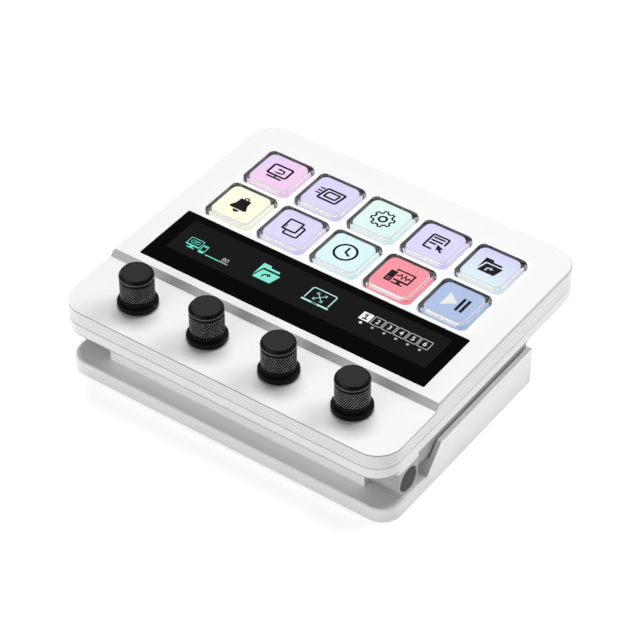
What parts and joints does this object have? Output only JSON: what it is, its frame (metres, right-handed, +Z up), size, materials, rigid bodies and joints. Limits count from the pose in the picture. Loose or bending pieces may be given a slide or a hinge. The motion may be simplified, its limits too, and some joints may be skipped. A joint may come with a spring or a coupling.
{
  "type": "macro keypad with knobs",
  "caption": "Desk control pad with display keys, a touch strip and press-to-turn knobs, on a low stand with a tilting hinge.",
  "frame": {"origin": "centre of the deck's outline, on the surface that the feet stand on", "axes": "+X to the right along the rows of keys, +Y from the knobs to the rear, +Z up"},
  "size_m": [0.132, 0.1182, 0.0457],
  "materials": {
    "stand_plastic": "satin moulded, white",
    "cover_plastic": "matt moulded, white",
    "weight_steel": "zinc plated",
    "screw_steel": "zinc plated",
    "foot_rubber": "matt",
    "pin_steel": "turned",
    "washer_brass": "stamped",
    "deck_plastic": "satin moulded, white",
    "cap_plastic": "matt, warm dark grey",
    "black_glass": "printed black underneath, polished",
    "display": "black display module",
    "dark_plastic": "matt, dark grey",
    "silicone": "translucent silicone",
    "clear_cap": "clear moulded, polished",
    "picture_tile": "translucent tile that shows the key's picture",
    "circuit_board": "green solder mask",
    "socket_steel": "tin plated",
    "encoder_metal": "stamped and turned",
    "plunger_plastic": "moulded, ivory",
    "shaft_steel": "turned",
    "knob_black": "matt black with two bright turned bands"
  },
  "bodies": {
    "stand": {"stand_shell": "stand_plastic", "stand_cover": "cover_plastic", "stand_weight": "weight_steel", "stand_screws": "screw_steel", "rubber_feet": "foot_rubber", "rest_pads": "foot_rubber", "hinge_pins": "pin_steel", "friction_washers": "washer_brass"},
    "deck": {"top_shell": "deck_plastic", "bottom_shell": "deck_plastic", "hinge_caps": "cap_plastic", "case_screws": "screw_steel", "strip_glass": "black_glass", "strip_display": "display", "key_display": "display", "key_frame": "dark_plastic", "key_springs": "silicone", "main_board": "circuit_board", "usb_socket": "socket_steel", "knob_board": "circuit_board", "encoders": "encoder_metal", "encoder_nuts": "encoder_metal", "board_screws": "screw_steel"},
    "key_1": {"keycap_1": "clear_cap", "picture_tile_1": "picture_tile"},
    "key_2": {"keycap_2": "clear_cap", "picture_tile_2": "picture_tile"},
    "key_3": {"keycap_3": "clear_cap", "picture_tile_3": "picture_tile"},
    "key_4": {"keycap_4": "clear_cap", "picture_tile_4": "picture_tile"},
    "key_5": {"keycap_5": "clear_cap", "picture_tile_5": "picture_tile"},
    "key_6": {"keycap_6": "clear_cap", "picture_tile_6": "picture_tile"},
    "key_7": {"keycap_7": "clear_cap", "picture_tile_7": "picture_tile"},
    "key_8": {"keycap_8": "clear_cap", "picture_tile_8": "picture_tile"},
    "key_9": {"keycap_9": "clear_cap", "picture_tile_9": "picture_tile"},
    "key_10": {"keycap_10": "clear_cap", "picture_tile_10": "picture_tile"},
    "push_1": {"plunger_1": "plunger_plastic"},
    "push_2": {"plunger_2": "plunger_plastic"},
    "push_3": {"plunger_3": "plunger_plastic"},
    "push_4": {"plunger_4": "plunger_plastic"},
    "turn_1": {"shaft_1": "shaft_steel", "knob_1": "knob_black"},
    "turn_2": {"shaft_2": "shaft_steel", "knob_2": "knob_black"},
    "turn_3": {"shaft_3": "shaft_steel", "knob_3": "knob_black"},
    "turn_4": {"shaft_4": "shaft_steel", "knob_4": "knob_black"}
  },
  "joints": [
    {"name": "deck_tilt", "type": "hinge", "parent": "stand", "child": "deck", "pos_m": [0, -0.0453, 0.0141], "axis": [1, 0, 0], "range_deg": [0, 40]},
    {"name": "key_1_press", "type": "slide", "parent": "deck", "child": "key_1", "axis": [0, 0, -1], "range_m": [0, 0.0012], "stiffness_N_per_m": 400, "springref_m": -0.0006, "deforming": ["key_springs"]},
    {"name": "key_2_press", "type": "slide", "parent": "deck", "child": "key_2", "axis": [0, 0, -1], "range_m": [0, 0.0012], "stiffness_N_per_m": 400, "springref_m": -0.0006, "deforming": ["key_springs"]},
    {"name": "key_3_press", "type": "slide", "parent": "deck", "child": "key_3", "axis": [0, 0, -1], "range_m": [0, 0.0012], "stiffness_N_per_m": 400, "springref_m": -0.0006, "deforming": ["key_springs"]},
    {"name": "key_4_press", "type": "slide", "parent": "deck", "child": "key_4", "axis": [0, 0, -1], "range_m": [0, 0.0012], "stiffness_N_per_m": 400, "springref_m": -0.0006, "deforming": ["key_springs"]},
    {"name": "key_5_press", "type": "slide", "parent": "deck", "child": "key_5", "axis": [0, 0, -1], "range_m": [0, 0.0012], "stiffness_N_per_m": 400, "springref_m": -0.0006, "deforming": ["key_springs"]},
    {"name": "key_6_press", "type": "slide", "parent": "deck", "child": "key_6", "axis": [0, 0, -1], "range_m": [0, 0.0012], "stiffness_N_per_m": 400, "springref_m": -0.0006, "deforming": ["key_springs"]},
    {"name": "key_7_press", "type": "slide", "parent": "deck", "child": "key_7", "axis": [0, 0, -1], "range_m": [0, 0.0012], "stiffness_N_per_m": 400, "springref_m": -0.0006, "deforming": ["key_springs"]},
    {"name": "key_8_press", "type": "slide", "parent": "deck", "child": "key_8", "axis": [0, 0, -1], "range_m": [0, 0.0012], "stiffness_N_per_m": 400, "springref_m": -0.0006, "deforming": ["key_springs"]},
    {"name": "key_9_press", "type": "slide", "parent": "deck", "child": "key_9", "axis": [0, 0, -1], "range_m": [0, 0.0012], "stiffness_N_per_m": 400, "springref_m": -0.0006, "deforming": ["key_springs"]},
    {"name": "key_10_press", "type": "slide", "parent": "deck", "child": "key_10", "axis": [0, 0, -1], "range_m": [0, 0.0012], "stiffness_N_per_m": 400, "springref_m": -0.0006, "deforming": ["key_springs"]},
    {"name": "knob_1_push", "type": "slide", "parent": "deck", "child": "push_1", "axis": [0, 0, -1], "range_m": [0, 0.00035], "stiffness_N_per_m": 2500, "springref_m": -0.0004},
    {"name": "knob_1_turn", "type": "hinge", "parent": "push_1", "child": "turn_1", "pos_m": [-0.0432, -0.0442, 0.0319], "axis": [0, 0, 1], "continuous": true},
    {"name": "knob_2_push", "type": "slide", "parent": "deck", "child": "push_2", "axis": [0, 0, -1], "range_m": [0, 0.00035], "stiffness_N_per_m": 2500, "springref_m": -0.0004},
    {"name": "knob_2_turn", "type": "hinge", "parent": "push_2", "child": "turn_2", "pos_m": [-0.0144, -0.0442, 0.0319], "axis": [0, 0, 1], "continuous": true},
    {"name": "knob_3_push", "type": "slide", "parent": "deck", "child": "push_3", "axis": [0, 0, -1], "range_m": [0, 0.00035], "stiffness_N_per_m": 2500, "springref_m": -0.0004},
    {"name": "knob_3_turn", "type": "hinge", "parent": "push_3", "child": "turn_3", "pos_m": [0.0144, -0.0442, 0.0319], "axis": [0, 0, 1], "continuous": true},
    {"name": "knob_4_push", "type": "slide", "parent": "deck", "child": "push_4", "axis": [0, 0, -1], "range_m": [0, 0.00035], "stiffness_N_per_m": 2500, "springref_m": -0.0004},
    {"name": "knob_4_turn", "type": "hinge", "parent": "push_4", "child": "turn_4", "pos_m": [0.0432, -0.0442, 0.0319], "axis": [0, 0, 1], "continuous": true}
  ]
}
